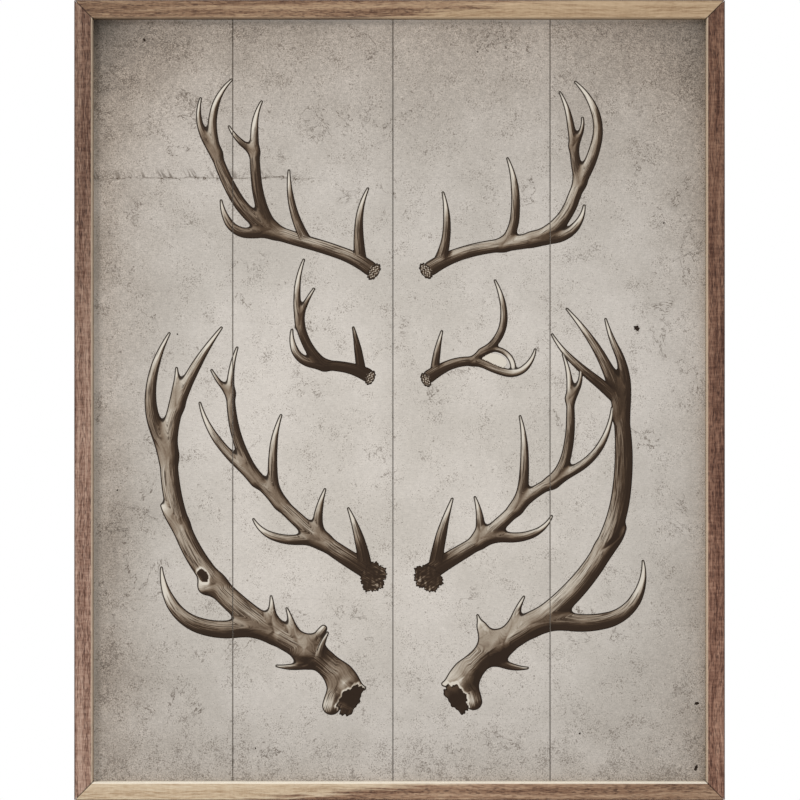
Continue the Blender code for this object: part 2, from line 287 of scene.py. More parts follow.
def walnut_finish(name, rail, tones, shade, rim, sapwood, seed):
    """Oiled walnut for one rail, its grain along the rail. tones are its dark, middle and pale
    heartwood, and then its sapwood. shade is (where it starts, where it is full, how much darker),
    along the rail. rim is the (colour, share) of the painted highlight on the inner wall's edge, where
    it catches the light. sapwood, if any, is (where its edge crosses the middle, how far it slants,
    +1 or -1 for the side that is pale)."""
    low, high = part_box(rail)
    upright = high[2] - low[2] > high[0] - low[0]
    centre = 0.0 if upright else (low[2] + high[2]) / 2
    f = Finish(name, roughness=0.55, specular=0.25)
    x, y, z = f.place().split()
    run, across = (z, x) if upright else (x, z - centre)
    wander = f.noise((run * 9.0, seed), detail=2.0)
    side = across + (wander - 0.5) * 0.010
    bands = f.noise((run * 5.0, side * 190.0, y * 120.0 + seed), detail=2.0)
    rings = f.noise((run * 30.0, side * 640.0, y * 420.0 + seed), detail=4.0, rough=0.6, warp=0.4)
    fine = f.noise((run * 130.0, side * 1900.0, y * 1700.0), detail=2.0, rough=0.6)
    ladder = f.noise((run * 800.0, side * 160.0, y * 160.0), detail=1.0)
    pores = f.noise((run * 240.0, side * 1700.0, y * 1500.0), detail=1.0)
    dashes = pores.spread(0.55, 0.61) * bands.spread(0.70, 0.40, 0.45, 1.0)
    comb = y.spread(RAIL_FRONT + 0.004, RAIL_FRONT + 0.001, 0.10, 0.45 if upright else 0.18)
    grain = (rings - 0.5) + (bands - 0.5) * 0.8 + (fine - 0.5) * 0.9 + (ladder - 0.5) * comb + 0.5
    heart = grain.ramp((0.18, tones[0]), (0.50, tones[1]), (0.80, tones[2]))
    heart = f.mix(dashes * 0.70, heart, paint(62, 36, 28))
    if sapwood:
        edge, slant, way = sapwood
        line = run * way + across * slant - edge + (rings - 0.5) * 0.16
        pale = grain.ramp((0.20, tones[3]), (0.50, tones[4]), (0.85, tones[5]))
        pale = f.mix(dashes * 0.16, pale, paint(122, 88, 60))
        heart = f.mix(line.spread(-0.035, 0.030), heart, pale)
    start, stop, amount = shade
    dusk = (1 - 0.92 * amount, 1 - amount, 1 - 1.12 * amount, 1.0)
    heart = f.mix(1.0, heart, f.mix(run.spread(start, stop), WHITE, dusk), "MULTIPLY")

    # Painted highlight: the inner wall's edge is paler where it catches the light, most on the foot rail,
    # whose wall faces up, and least on the top rail, whose wall faces down.
    half = HALF_WIDTH if upright else (FRAME_TOP - FRAME_FOOT) / 2
    off = abs(x if upright else z - MIDDLE_Z)
    inner = off.spread(half - RAIL_FACE + 0.0012, half - RAIL_FACE + 0.0002)
    shallow = y.spread(RAIL_FRONT + 0.012, RAIL_FRONT + 0.007)
    heart = f.mix(inner * shallow * rim[1], heart, rim[0])
    outer = off.spread(half - 0.0014, half - 0.0003) * y.spread(RAIL_FRONT + 0.010, RAIL_FRONT + 0.001)
    heart = f.mix(outer * 0.75, heart, paint(66, 42, 32))
    mitre = abs(x) - HALF_WIDTH - (abs(z - MIDDLE_Z) - (FRAME_TOP - MIDDLE_Z))
    heart = f.mix(abs(mitre).spread(0.0007, 0.0002, 0.0, 0.6), heart, paint(46, 30, 24))
    return f.wear(heart, grain * 0.5 - dashes, 0.00010, 0.6, grain.spread(0.3, 0.7, 0.62, 0.48))


SEAMS = [(BOARD_BOXES[a][1][0] + BOARD_BOXES[b][0][0]) / 2 for a, b in zip(BOARDS, BOARDS[1:])]


def print_finish():
    """The print's aged ground: grey-beige, darker towards its edges, clouded, gritty and flecked,
    with faint folds and hair cracks. It has painted shade in its upper corners, and painted light
    close to the left and top rails and in its lower left corner."""
    f = Finish("printed_ground", roughness=0.75, specular=0.12)
    place = f.place()
    x, _, z = place.split()
    clouds = f.noise(place, 14.0, detail=4.0, rough=0.6)
    mottle = f.noise(place.moved(3.1, 0, 1.7), 60.0, detail=4.0, rough=0.65)
    pulp = f.noise(place.moved(0, 2, 0.4), 330.0, rough=0.7)
    grit = f.noise(place, 1300.0, detail=2.0, rough=0.8)
    weave = f.noise(place.scaled(260.0, 1.0, 1500.0), detail=1.0)

    wave = (clouds - 0.5) * 0.050
    left, right = x - PRINT_LEFT, x * -1.0 + PRINT_RIGHT
    top, foot = z * -1.0 + PRINT_TOP, z - PRINT_FOOT
    shade = f.reach(x, z + (0.055 - MIDDLE_Z)).spread(0.05, 0.22, 1.0, 0.93)
    # Along each edge: near is painted light, a lift within a few millimetres of the left and top rails that
    # thins the shade they cast on the print, and next to none by the others; far darkens the ground in
    # towards the edge.
    for distance, near, near_reach, far, far_reach in (
        (left, 0.28, 0.0024, -0.33, 0.031), (right, 0.01, 0.0020, -0.18, 0.036),
        (top, 0.31, 0.0020, -0.345, 0.087), (foot, -0.02, 0.0040, -0.155, 0.060),
    ):
        inward = (distance + wave).most(0.0)
        shade = shade * (distance.decay(near_reach) * near + inward.decay(far_reach) * far + 1.0)
    # Painted shade in the two upper corners, under the top rail, and painted light in the lower left corner,
    # against the shade that gathers there.
    for across, up, gain, reach in (
        (left, top, -0.83, 0.023), (right, top, -0.66, 0.024), (left, foot, 0.24, 0.016),
    ):
        shade = shade * (f.reach(across, up).decay(reach) * gain + 1.0)

    # The ground is browner and its texture stronger where it is darker, from its age and from the painted
    # shade and light above.
    age_and_shade = shade.spread(0.90, 0.52)
    fresh = f.mix(clouds.spread(0.35, 0.65), paint(206, 199, 190), paint(214, 207, 199))
    tint = f.mix(age_and_shade, fresh, paint(205, 190, 175))
    value = shade
    for field, quiet, strong in ((clouds, 0.16, 0.70), (mottle, 0.14, 0.70), (pulp, 0.20, 0.80),
                                 (grit, 0.42, 2.10), (weave, 0.24, 0.55)):
        value = value * ((field - 0.5) * (age_and_shade * (strong - quiet) + quiet) + 1.0)

    chance = (mottle - 0.5) * 0.50 + age_and_shade * 0.05 + foot.most(0.0).decay(0.040) * 0.060
    marks = 0.0
    for scale, level, depth, offset in ((1200.0, 0.635, 0.50, 2.9), (800.0, 0.690, 0.55, 4.2),
                                        (430.0, 0.715, 0.50, 7.7)):
        flecks = f.noise(place.moved(offset, 0, 0), scale, detail=2.0, rough=0.6)
        marks = ((flecks + chance).spread(level - 0.03, level + 0.05) * depth).most(marks)

    wild = f.noise(place.moved(9.0, 0, 2.0), 26.0, detail=6.0, rough=0.68, warp=0.4)
    ridge = abs(wild - 0.5).spread(0.010, 0.002)
    patch = f.noise(place.moved(0, 0, 5.3), 24.0, detail=2.0) + age_and_shade * 0.09
    patch = patch + x.spread(-0.07, -0.16, 0.0, 0.035)
    crack = ridge * patch.spread(0.585, 0.645) * pulp.spread(0.38, 0.52, 0.2, 1.0)
    marks = (crack * 0.70).most(marks)

    swayed = z + (mottle - 0.5) * 0.0055 - MIDDLE_Z
    broken = pulp.spread(0.38, 0.58, 0.15, 1.0)
    for height, start, stop, depth in (
        (0.148, -0.23, -0.045, 0.60), (0.052, -0.21, 0.0, 0.07), (-0.133, -0.21, 0.0, 0.09),
        (-0.150, 0.02, 0.21, 0.07), (0.148, -0.02, 0.12, 0.08),
    ):
        away = abs(swayed - height)
        line = away.spread(0.0009, 0.0001) + away.spread(0.0060, 0.0) * ridge * 1.5
        inside = x.spread(start, start + 0.02) * x.spread(stop, stop - 0.03)
        marks = (line * inside * broken * depth).most(marks)
    above = swayed - 0.1475
    feather = f.noise((x * 430.0 + z * 240.0, z * 70.0), detail=2.0).spread(0.53, 0.60)
    feather = feather * above.spread(0.0, 0.0005) * above.spread(0.0085, 0.0015)
    marks = (feather * x.spread(-0.05, -0.11) * 0.60).most(marks)
    for seam in SEAMS:
        value = value * (abs(x - seam).spread(0.0007, 0.0002) * -0.44 + 1.0)
    colour = f.dimmed(f.mix(marks, tint, paint(84, 68, 54)), value)
    height = grit * 0.6 + pulp * 0.6 - crack
    return f.wear(colour, height, 0.00006, 0.6, height.spread(0.3, 1.0, 0.80, 0.66))


def ink_finish():
    """Sepia ink read from the drawing's own fields: a dark line round each shape, washes by the
    light, and streaks that run along the beams."""
    f = Finish("sepia_ink", roughness=0.70, specular=0.10)
    depth, tone, along, across, clear = (f.field("ink_" + key) for key in INK_FIELDS)
    broad = f.noise((along * 0.030, across * 0.70), rough=0.6)
    fine = f.noise((along * 0.055, across * 1.45, 4.0), detail=2.0, rough=0.6)
    streak = (broad - 0.5) * 1.5 + (fine - 0.5)
    streak = streak.least(streak * 0.5) * tone.spread(0.86, 0.50, 0.20, 1.0)
    grit = f.noise(f.place(), 950.0, detail=2.0, rough=0.7)
    value = (tone - 0.5) * 1.50 + 0.515 + streak * clear.spread(0.0, 1.0, 0.25, 1.0) + (grit - 0.5) * 0.16
    wash = value.ramp((0.04, paint(48, 36, 27)), (0.28, paint(84, 67, 52)), (0.46, paint(132, 115, 98)),
                      (0.66, paint(170, 157, 141)), (0.92, paint(218, 210, 197)))
    cover = fine + (tone - 0.5) * 0.34
    hatch = cover.spread(0.485, 0.440) * clear.spread(0.35, 0.95, 0.10, 0.70)
    wash = f.mix(hatch, wash, paint(54, 41, 31))
    line = depth.spread(1.05, 0.55)
    return f.wear(f.mix(line * 0.97, wash, paint(43, 32, 24)), value, 0.00003, 0.4)


def bare_wood_finish(name, along, tones, seed, knots=()):
    """Planed softwood with its grain along X or Z: pale and dark growth lines stretched along the
    grain, fine fibres across it, and knots, each (place along, place across, radius), whose rings
    push the grain aside."""
    f = Finish(name, roughness=0.74, specular=0.2)
    x, y, z = f.place().split()
    run, across = (x, z) if along == "X" else (z, x)
    wander = f.noise((run * 5.0, across * 9.0, seed), detail=2.0)
    side = across + (wander - 0.5) * 0.030
    knot = 0.0
    for knot_run, knot_across, radius in knots:
        away = f.reach((run - knot_run) * 0.55, across - knot_across)
        side = side + away.decay(2.2 * radius) * (2.0 * radius)
        rings = (away * 5200.0).math("SINE")
        heart = away.spread(radius * 1.15, radius * 0.85) * (rings * 0.15 + 0.85)
        knot = heart.most(knot)
    deep = y * 130.0 + seed
    lines = f.noise((run * 2.2, side * 420.0, deep), rough=0.55)
    broad = f.noise((run * 3.0, side * 60.0, deep), detail=2.0)
    fibre = f.noise((run * 45.0, side * 1900.0, y * 1700.0), rough=0.7)
    grain = (lines - 0.5) * 1.5 + (broad - 0.5) * 0.9 + 0.5
    colour = grain.ramp((0.22, tones[0]), (0.50, tones[1]), (0.75, tones[2]))
    colour = f.dimmed(colour, fibre.spread(0.28, 0.72, 0.84, 1.06))
    blotch = f.noise(f.place(), 16.0, detail=4.0)
    colour = f.dimmed(colour, blotch.spread(0.3, 0.7, 0.90, 1.04))
    return f.wear(f.mix(knot, colour, paint(128, 82, 48)), fibre + lines, 0.00016, 0.8)


def zinc_finish():
    """Dull zinc plate: faint spangle, rubbed brighter and duller in places, with fine scratches."""
    f = Finish("zinc_plate", roughness=0.4, metallic=1.0)
    place = f.place()
    spangle = f.node("TexVoronoi", {"Vector": place, "Scale": 900.0}, "Color").split()[0]
    rub = f.noise(place, 260.0)
    scratch = f.noise(place.scaled(300.0, 300.0, 4200.0), detail=1.0)
    tone = spangle * 0.12 + rub * 0.25
    colour = tone.ramp((0.05, paint(150, 150, 146)), (0.30, paint(198, 197, 192)))
    return f.wear(colour, scratch + spangle, 0.00001, 0.4, rub.spread(0.3, 0.7, 0.50, 0.30))


def rubber_finish():
    """Matte black rubber with dust caught in a fine pebbled skin."""
    f = Finish("bumper_rubber", roughness=0.8, specular=0.3)
    place = f.place()
    skin = f.noise(place, 2600.0, detail=2.0)
    dust = f.noise(place, 420.0, detail=4.0).spread(0.52, 0.75, 0.0, 0.5)
    colour = f.mix(dust, paint(30, 29, 28), paint(92, 88, 83))
    return f.wear(colour, skin, 0.00008, 0.6, skin.spread(0.3, 0.7, 0.88, 0.70))


# ---------------------------------------------------------------- the printed boards

BOARD_ROUNDING = 0.0003  # radius of a board's long edges
BOARD_ROWS = 85          # odd, so that one row lies where the map splits
GROOVE = ((0, 0.0052), (0.0019, 0.0052), (0.0019, 0.0024), (0, 0.0024))
TONGUE = ((0, 0.0027), (0.0015, 0.0027), (0.0015, 0.0049), (0, 0.0049))
RIPPLE = 0.00002


def board_map(points, faces, front_face, low, high):
    """Places on the map for a board: its front in two stacked halves side by side, which gives them
    twice the detail, and the rest squeezed into a strip at the right."""
    corners = points[faces]
    centre = corners.mean(1)
    across, deep, along = np.moveaxis((corners - low) / (high - low), -1, 0)
    upper, right = (centre[:, k, None] > (low[k] + high[k]) / 2 for k in (2, 0))
    rear = centre[:, 1, None] > high[1] - 1e-5
    ends = np.ptp(corners[..., 2], axis=1)[:, None] < 1e-7
    beyond = np.where(right, corners[..., 0] - high[0], low[0] - corners[..., 0])
    side_u = np.where(right, 0.965, 0.935) + 0.020 * deep + beyond
    rest_u = np.where(rear | ends, 0.805 + 0.12 * across, side_u)
    rest_v = np.where(ends, np.where(upper, 0.972, 0.002) + 0.020 * deep, 0.03 + 0.93 * along)
    u = np.where(upper, 0.005, 0.405) + 0.39 * across
    v = 0.004 + 0.992 * np.clip(2 * along - upper, 0, 1)
    is_front = front_face[:, None]
    return np.stack([np.where(is_front, u, rest_u), np.where(is_front, v, rest_v)], -1)


def build_board(name, print_face, bare):
    """A printed board: a rectangle with rounded edges, a groove in its left side and a tongue on its
    right one that runs into the next board's groove, carried up the print. Its front rises and
    falls by a ripple of under 0.05 mm."""
    low, high = [corner.copy() for corner in BOARD_BOXES[name]]
    low -= (RAIL_SNUG if name == BOARDS[0] else 0, 0, RAIL_SNUG)
    high += (RAIL_SNUG if name == BOARDS[-1] else 0, 0, 0)
    width, depth = (high - low)[:2]
    corners = rounded_section(width, depth, BOARD_ROUNDING, steps=3)
    left, right = corners[:8], corners[8:]
    if name != BOARDS[0]:
        left = np.concatenate([left, GROOVE])
    if name != BOARDS[-1]:
        right = np.concatenate([right, np.array(TONGUE) + (width, 0)])
    outline = finer(np.concatenate([left, right]), 0.006)
    z = np.linspace(low[2], high[2], BOARD_ROWS)
    x, y = low[0] + outline[:, 0], low[1] + outline[:, 1]
    front = np.clip(1 - outline[:, 1] / 0.0005, 0, 1)
    ripple = RIPPLE * (1 + np.sin(z[:, None] * 17 + x[None] * 23 + len(name)))
    columns = len(outline)
    points = np.stack(np.broadcast_arrays(x[None], y[None] + ripple * front[None], z[:, None]), -1)
    points = points.reshape(-1, 3)
    quads, caps = tube_faces(BOARD_ROWS, columns)
    facing = points[quads][..., 1].mean(1) < low[1] + 0.0004
    slots = np.concatenate([np.where(facing, 0, 1), np.ones(2, int)])
    flat = board_map(points, quads, facing, low, high).reshape(-1, 2)
    cap_map = board_map(points, caps, np.zeros(2, bool), low, high).reshape(-1, 2)
    board = build_mesh(
        name.replace("board", "printed_board"), points, [quads, caps], [print_face, bare],
        slots=slots, loops_uv=np.concatenate([flat, cap_map]),
    )
    return fit(board, name)


# ---------------------------------------------------------------- the drawing

INK_PITCH = 0.5          # mm between the points that the drawing is worked out on
INK_LIFT = 0.03 * MM     # the ink's rim above the board
INK_BODY = 0.05 * MM     # and how much further its middle stands
INK_INSET = 0.12         # mm that the ink stops short of a board's edge
INK_RISE = 1.4           # mm from the rim over which it rises
NO_INK = 99.0            # the edge distance where nothing is drawn yet
FAR = 50.0               # an edge further off than this counts as none
INK_FIELDS = ("depth", "tone", "along", "across", "clear")
LIGHT = np.array([-0.56, 0.60, 0.57])

# Antlers drawn on the print, in millimetres from its middle. A stroke has a name, a start (a point,
# or a share of the way along another stroke), a length, the headings it turns through in degrees
# and the radii it passes through. A stroke marked 1 is drawn over the others. A burr has its middle,
# its heading, its two half widths and its kind, and marks and stains are as draw_antler says.
ANTLERS = {
    "upper_left": dict(web=4.0, burr=(-17.0, 85.5, 146, 3.4, 6.2, "pearled"),
                      stains=((-106, 132, 44, 0.22),), strokes=[
      ("beam", (-20, 88), 188, (144, 160, 164, 162, 140, 120, 112, 98, 74, 42),
       (5.0, 4.4, 4.4, 4.8, 4.6, 4.2, 3.8, 3.4, 2.6, 1.0)),
      ("crown", ("beam", 0.72), 40, (134, 108, 74), (3.4, 2.8, 2.0, 1.0)),
      ("fork", ("beam", 0.36), 90, (128, 108, 96, 92, 88, 62), (4.6, 4.0, 3.6, 3.4, 2.6, 1.0)),
      ("prong", ("fork", 0.62), 24, (152, 136, 118), (2.8, 2.0, 1.0)),
      ("heel", ("beam", 0.38), 46, (196, 180, 122, 96), (4.4, 3.6, 2.8, 1.0)),
      ("middle", ("beam", 0.24), 50, (122, 104, 88), (3.8, 3.0, 2.2, 1.0), 1),
      ("brow", ("beam", 0.035), 50, (98, 88, 64), (4.4, 3.4, 2.4, 1.0), 1)]),
    "upper_right": dict(web=4.0, burr=(17.5, 86.0, 34, 3.4, 6.0, "pearled"), strokes=[
      ("beam", (21, 88), 196, (34, 18, 8, 10, 40, 70, 62, 78, 112, 138),
       (5.0, 4.4, 4.4, 5.0, 4.6, 4.4, 4.2, 3.6, 2.8, 1.0)),
      ("crown", ("beam", 0.62), 62, (104, 96, 100, 118), (3.6, 3.2, 2.4, 1.0)),
      ("prong", ("crown", 0.40), 20, (54, 70, 96), (2.4, 1.8, 1.0)),
      ("heel", ("beam", 0.36), 46, (0, 8, 50, 84), (4.4, 3.8, 3.0, 1.0)),
      ("middle", ("beam", 0.26), 60, (50, 84, 96, 112), (3.8, 3.2, 2.7, 1.0)),
      ("brow", ("beam", 0.03), 48, (66, 88, 104), (4.4, 3.0, 2.4, 1.0), 1)]),
    "small_left": dict(web=3.2, burr=(-19.5, 15.0, 155, 3.0, 5.2, "pearled"),
                      stains=((-40, 22, 48, 0.46),), strokes=[
      ("beam", (-22, 17), 66, (152, 168, 178, 164, 112, 84), (4.6, 3.7, 3.4, 3.2, 2.6, 1.0)),
      ("main", ("beam", 0.44), 76, (142, 116, 98, 86, 68), (3.8, 3.2, 2.9, 2.2, 1.0)),
      ("prong", ("main", 0.42), 26, (88, 66, 56), (2.3, 1.9, 1.0)),
      ("brow", ("beam", 0.06), 30, (96, 104), (3.4, 2.6, 1.0), 1)]),
    "small_right": dict(web=2.4, burr=(17.5, 13.5, 28, 3.0, 5.2, "pearled"), strokes=[
      ("beam", (20, 16), 82, (36, 24, 2, -26, -14, 44, 78), (4.4, 3.5, 3.2, 2.8, 2.8, 2.4, 1.0)),
      ("ring", ("beam", 0.38), 36, (58, 30, -4, -44, -84), (2.6, 2.2, 1.9, 1.9, 2.0)),
      ("main", ("ring", 0.26), 54, (28, 56, 86, 104, 116), (2.8, 2.8, 2.6, 2.0, 1.0)),
      ("brow", ("beam", 0.05), 28, (86, 74), (3.2, 2.4, 1.0), 1)]),
    "middle_left": dict(web=4.6, burr=(-17.5, -118.0, 140, 9.0, 9.4, "ragged"), strokes=[
      ("beam", (-20, -114), 162, (150, 146, 138, 134, 140, 126, 104),
       (6.1, 5.5, 4.9, 4.2, 3.5, 2.8, 1.0)),
      ("fork", ("beam", 0.60), 92, (122, 112, 98, 88, 70), (4.2, 3.6, 3.2, 2.6, 1.0)),
      ("prong", ("fork", 0.66), 20, (140, 118), (2.4, 1.7, 1.0)),
      ("second", ("beam", 0.46), 60, (118, 92, 84, 68), (3.8, 3.4, 2.7, 1.0)),
      ("third", ("beam", 0.24), 34, (108, 82, 68), (4.2, 3.0, 1.0)),
      ("heel", ("beam", 0.22), 52, (166, 184, 160, 118), (4.6, 3.6, 2.8, 1.0)),
      ("brow", ("beam", 0.02), 42, (98, 114), (4.8, 3.4, 1.0), 1)]),
    "middle_right": dict(web=4.6, burr=(19.0, -118.5, 42, 8.8, 9.6, "ragged"), strokes=[
      ("beam", (21, -114), 168, (34, 30, 40, 46, 28, 30, 62, 86),
       (5.9, 5.3, 4.7, 4.3, 3.9, 3.3, 2.5, 1.0)),
      ("fork", ("beam", 0.60), 88, (50, 78, 90, 92, 112), (4.2, 3.4, 3.0, 2.4, 1.0)),
      ("prong", ("fork", 0.66), 22, (44, 72, 98), (2.4, 1.8, 1.0)),
      ("second", ("beam", 0.42), 62, (66, 86, 92, 104), (4.0, 3.4, 2.6, 1.0)),
      ("third", ("beam", 0.22), 30, (74, 96, 110), (3.8, 2.8, 1.0)),
      ("heel", ("beam", 0.24), 52, (14, -6, 22, 64), (4.6, 3.6, 2.8, 1.0)),
      ("brow", ("beam", 0.02), 48, (82, 70), (4.8, 3.6, 1.0), 1)]),
    "great_left": dict(web=5.6, burr=(-33.0, -200.0, 146, 6.2, 11.5, "hollow"),
                      marks=((-131, -117, 118, 5.2, 2.9),), strokes=[
      ("beam", (-62, -166), 262, (154, 148, 138, 126, 112, 99, 88, 68, 60, 52),
       (8.3, 7.8, 7.5, 6.8, 6.3, 6.3, 5.9, 4.9, 3.4, 1.0)),
      ("crown", ("beam", 0.64), 86, (118, 110, 88, 72, 60), (5.6, 4.8, 3.8, 2.8, 1.0)),
      ("prong", ("beam", 0.77), 25, (98, 86, 92), (3.2, 2.4, 1.0)),
      ("spur", ("beam", 0.46), 18, (150, 118), (4.0, 2.6, 1.0)),
      ("knot", ("beam", 0.285), 7, (200, 190), (6.0, 5.4)),
      ("heel", ("beam", 0.10), 98, (166, 188, 162, 120, 92), (7.0, 6.2, 5.4, 4.0, 1.0)),
      ("second", ("beam", 0.09), 24, (112, 88, 96), (4.4, 3.0, 1.0)),
      ("third", ("beam", 0.01), 28, (128, 104, 112), (4.2, 2.8, 1.0)),
      ("thorn", (-54, -176), 22, (88, 60), (3.4, 2.4, 1.0), 1),
      ("barb", (-62, -176), 20, (196, 170), (3.2, 2.2, 1.0)),
      ("knob", (-55, -160), 9, (70, 52), (4.2, 2.6)),
      ("neck", (-62, -166), 34, (-30, -42, -50), (8.8, 8.2, 9.4)),
      ("lobe", ("neck", 0.85), 20, (-98, -112, -104), (8.0, 6.0, 6.2)),
      ("brim", ("neck", 0.9), 16, (-36, -8), (7.0, 4.6, 1.6))]),
    "great_right": dict(web=5.6, burr=(38.0, -198.5, 34, 6.0, 11.0, "hollow"),
                       stains=((168, -22, 92, 0.35),), strokes=[
      ("beam", (66, -163), 268, (30, 32, 44, 54, 68, 82, 90, 98, 112, 124, 132),
       (8.3, 7.7, 7.4, 6.9, 6.7, 6.4, 6.0, 5.2, 4.2, 2.7, 1.0)),
      ("outer", ("beam", 0.70), 66, (70, 94, 116, 104), (4.4, 3.6, 2.6, 1.0)),
      ("inner", ("beam", 0.74), 62, (136, 142, 136, 120), (4.2, 3.4, 2.4, 1.0), 1),
      ("spur", ("beam", 0.36), 20, (30, 40, 72), (4.2, 2.8, 1.0)),
      ("heel", ("beam", 0.10), 100, (14, -8, 14, 62, 98), (7.0, 6.2, 5.4, 4.0, 1.0)),
      ("second", ("beam", 0.02), 32, (60, 74, 60), (4.4, 3.0, 1.0)),
      ("third", (60, -168), 26, (124, 100, 108), (3.8, 2.6, 1.0)),
      ("thorn", (66, -174), 20, (-30, 4), (3.4, 2.4, 1.0)),
      ("knob", (60, -158), 8, (116, 128), (4.0, 2.6)),
      ("neck", (66, -163), 34, (214, 224, 232), (8.8, 8.0, 9.2)),
      ("lobe", ("neck", 0.85), 19, (-84, -70, -78), (7.6, 5.8, 5.8)),
      ("brim", ("neck", 0.9), 15, (212, 188), (6.6, 4.4, 1.6))]),
}

# Each kind of burr: how much it darkens what is round it, the lobes of its rim and their seed
BURRS = {
    "pearled": (0.30, ((9, 0.05), (14, 0.04)), 5),
    "ragged": (0.52, ((2, 0.07), (5, 0.06), (9, 0.04), (17, 0.04), (31, 0.045)), 7),
    "hollow": (0.20, ((3, 0.08), (7, 0.08), (16, 0.05)), 11),
}
EYE = (63.0, 26.0, 8.6, 5.2)    # the pale fill behind the small right antler's ring: middle, half widths
EYE_TURN = -12
# Dark specks on the ground: place and size
SPECKS = ((158, 48, 2.1), (198, -202, 1.5), (197.5, -245, 1.7), (-170, 240, 1.1), (52, 232, 0.7),
          (-188, -60, 0.8), (176, 118, 0.7), (120, -222, 0.8), (-96, -232, 0.7), (-148, 44, 0.6))


def even(values, count):
    """The given values spread evenly over a length and read at count even steps."""
    return np.interp(np.linspace(0, 1, count), np.linspace(0, 1, len(values)), values)


def ease(low, high, value):
    """3t^2 - 2t^3 of the share t of the way from low to high."""
    t = np.clip((value - low) / (high - low), 0, 1)
    return t * t * (3 - 2 * t)


class Stroke:
    """A tapering stroke: its heading turns evenly between the given ones, and its points are the
    running sum of the unit headings."""

    def __init__(self, start, length, headings, radii, along=0.0):
        count = max(int(length), 12)
        head = np.radians(even(headings, count + 1))
        middle = (head[1:] + head[:-1]) / 2
        self.step = length / count
        moves = np.stack([np.cos(middle), np.sin(middle)], 1) * self.step
        self.points = np.array(start, float) + np.concatenate([[[0, 0]], np.cumsum(moves, 0)])
        self.tangents = np.stack([np.cos(head), np.sin(head)], 1)
        self.radii, self.length, self.along = even(radii, count + 1), length, along

    def at(self, share):
        i = int(round(share * (len(self.points) - 1)))
        return self.points[i], self.along + i * self.step

    def measure(self, px, pz):
        """At each point: distance to the edge of the nearest section (below 0 inside), way along,
        way across and that section's radius. The nearest is where distance less radius is least."""
        points = np.stack([px.ravel(), pz.ravel()], 1)
        squares = (points ** 2).sum(1)[:, None] + (self.points ** 2).sum(1)[None] - 2 * points @ self.points.T
        near = (np.sqrt(np.maximum(squares, 0)) - self.radii).argmin(1)
        off = points - self.points[near]
        tangent = self.tangents[near]
        along = near * self.step + (off * tangent).sum(1)
        across = off[:, 1] * tangent[:, 0] - off[:, 0] * tangent[:, 1]
        held = np.clip(along, 0, self.length)
        radius = np.interp(held, np.linspace(0, self.length, len(self.radii)), self.radii)
        edge = np.hypot(across, along - held) - radius
        return [a.reshape(px.shape) for a in (edge, along, across, radius)]


class Page:
    """The lattice that the drawing is worked out on, and a shape's fields at its points."""

    def __init__(self, x, z):
        self.x, self.z = x, z
        shape = (len(z), len(x))
        self.edge = np.full(shape, NO_INK)
        self.along, self.across, self.tip = np.zeros(shape), np.zeros(shape), np.zeros(shape)
        self.radius, self.clear = np.ones(shape), np.ones(shape)

    def window(self, points, margin):
        low, high = points.min(0) - margin, points.max(0) + margin
        across = slice(*np.searchsorted(self.x, [low[0], high[0]]))
        up = slice(*np.searchsorted(self.z, [low[1], high[1]]))
        return (up, across), np.meshgrid(self.x[across], self.z[up])

    def run_in(self, stroke, web):
        """Joins a stroke to the shape with a web: the smooth minimum of the two edge distances,
        and every other field mixed by the same share. clear falls where two strokes share a
        place about equally, because their streaks would cross there."""
        spot, (px, pz) = self.window(stroke.points, web + 3 + stroke.radii.max())
        edge, along, across, radius = stroke.measure(px, pz)
        old = self.edge[spot]
        empty = old > FAR
        keep = np.where(empty, 0.0, np.clip(0.5 + 0.5 * (edge - old) / web, 0, 1))
        self.edge[spot] = np.where(empty, edge, edge * (1 - keep) + old * keep - web * keep * (1 - keep))
        span = min(stroke.length, 80)
        left = np.clip(stroke.length - along, 0, stroke.length) / span
        dusk = 0.17 if stroke.length < 120 else 0.04
        tip = 0.34 * min(stroke.length / 32, 1) * ease(0.36, 0.05, left) - dusk * ease(0.28, 0.70, left)
        for field, new in ((self.along, along + stroke.along), (self.across, across),
                           (self.radius, radius), (self.tip, tip)):
            field[spot] = blend(new, field[spot], keep)
        self.clear[spot] = blend(1, self.clear[spot], keep) * (1 - 3.4 * keep * (1 - keep))

    def tone(self):
        """Light on a rounded body: its height over the page is the square root of depth times
        (twice the radius less depth), and the tone is the cosine between its normal and LIGHT."""
        depth = np.clip(-self.edge, 0, None)
        height = np.sqrt(np.maximum(depth * (2 * self.radius - depth), 0) + 0.02)
        up, over = np.gradient(height, self.z[1] - self.z[0])
        lit = (-over * LIGHT[0] - up * LIGHT[1] + LIGHT[2]) / np.sqrt(over * over + up * up + 1)
        return 0.03 + 0.68 * ease(-0.36, 1.0, lit) + self.tip * ease(-0.5, 0.3, lit)


def oval(px, pz, centre, heading, half_long, half_wide, lobes, seed):
    """Distance to the edge of an oval with a rippled rim, below 0 inside: the point's radius in
    units of the oval, less 1 and less a seeded sum of sines round it, times the smaller half."""
    turn = math.radians(heading)
    along = (px - centre[0]) * math.cos(turn) + (pz - centre[1]) * math.sin(turn)
    across = -(px - centre[0]) * math.sin(turn) + (pz - centre[1]) * math.cos(turn)
    angle = np.arctan2(across / half_wide, along / half_long)
    phase = np.random.default_rng(seed).uniform(0, 2 * math.pi, len(lobes))
    ripple = sum(size * np.sin(count * angle + p) for (count, size), p in zip(lobes, phase))
    far = np.hypot(along / half_long, across / half_wide) - 1 - ripple
    return far * min(half_long, half_wide), along, across


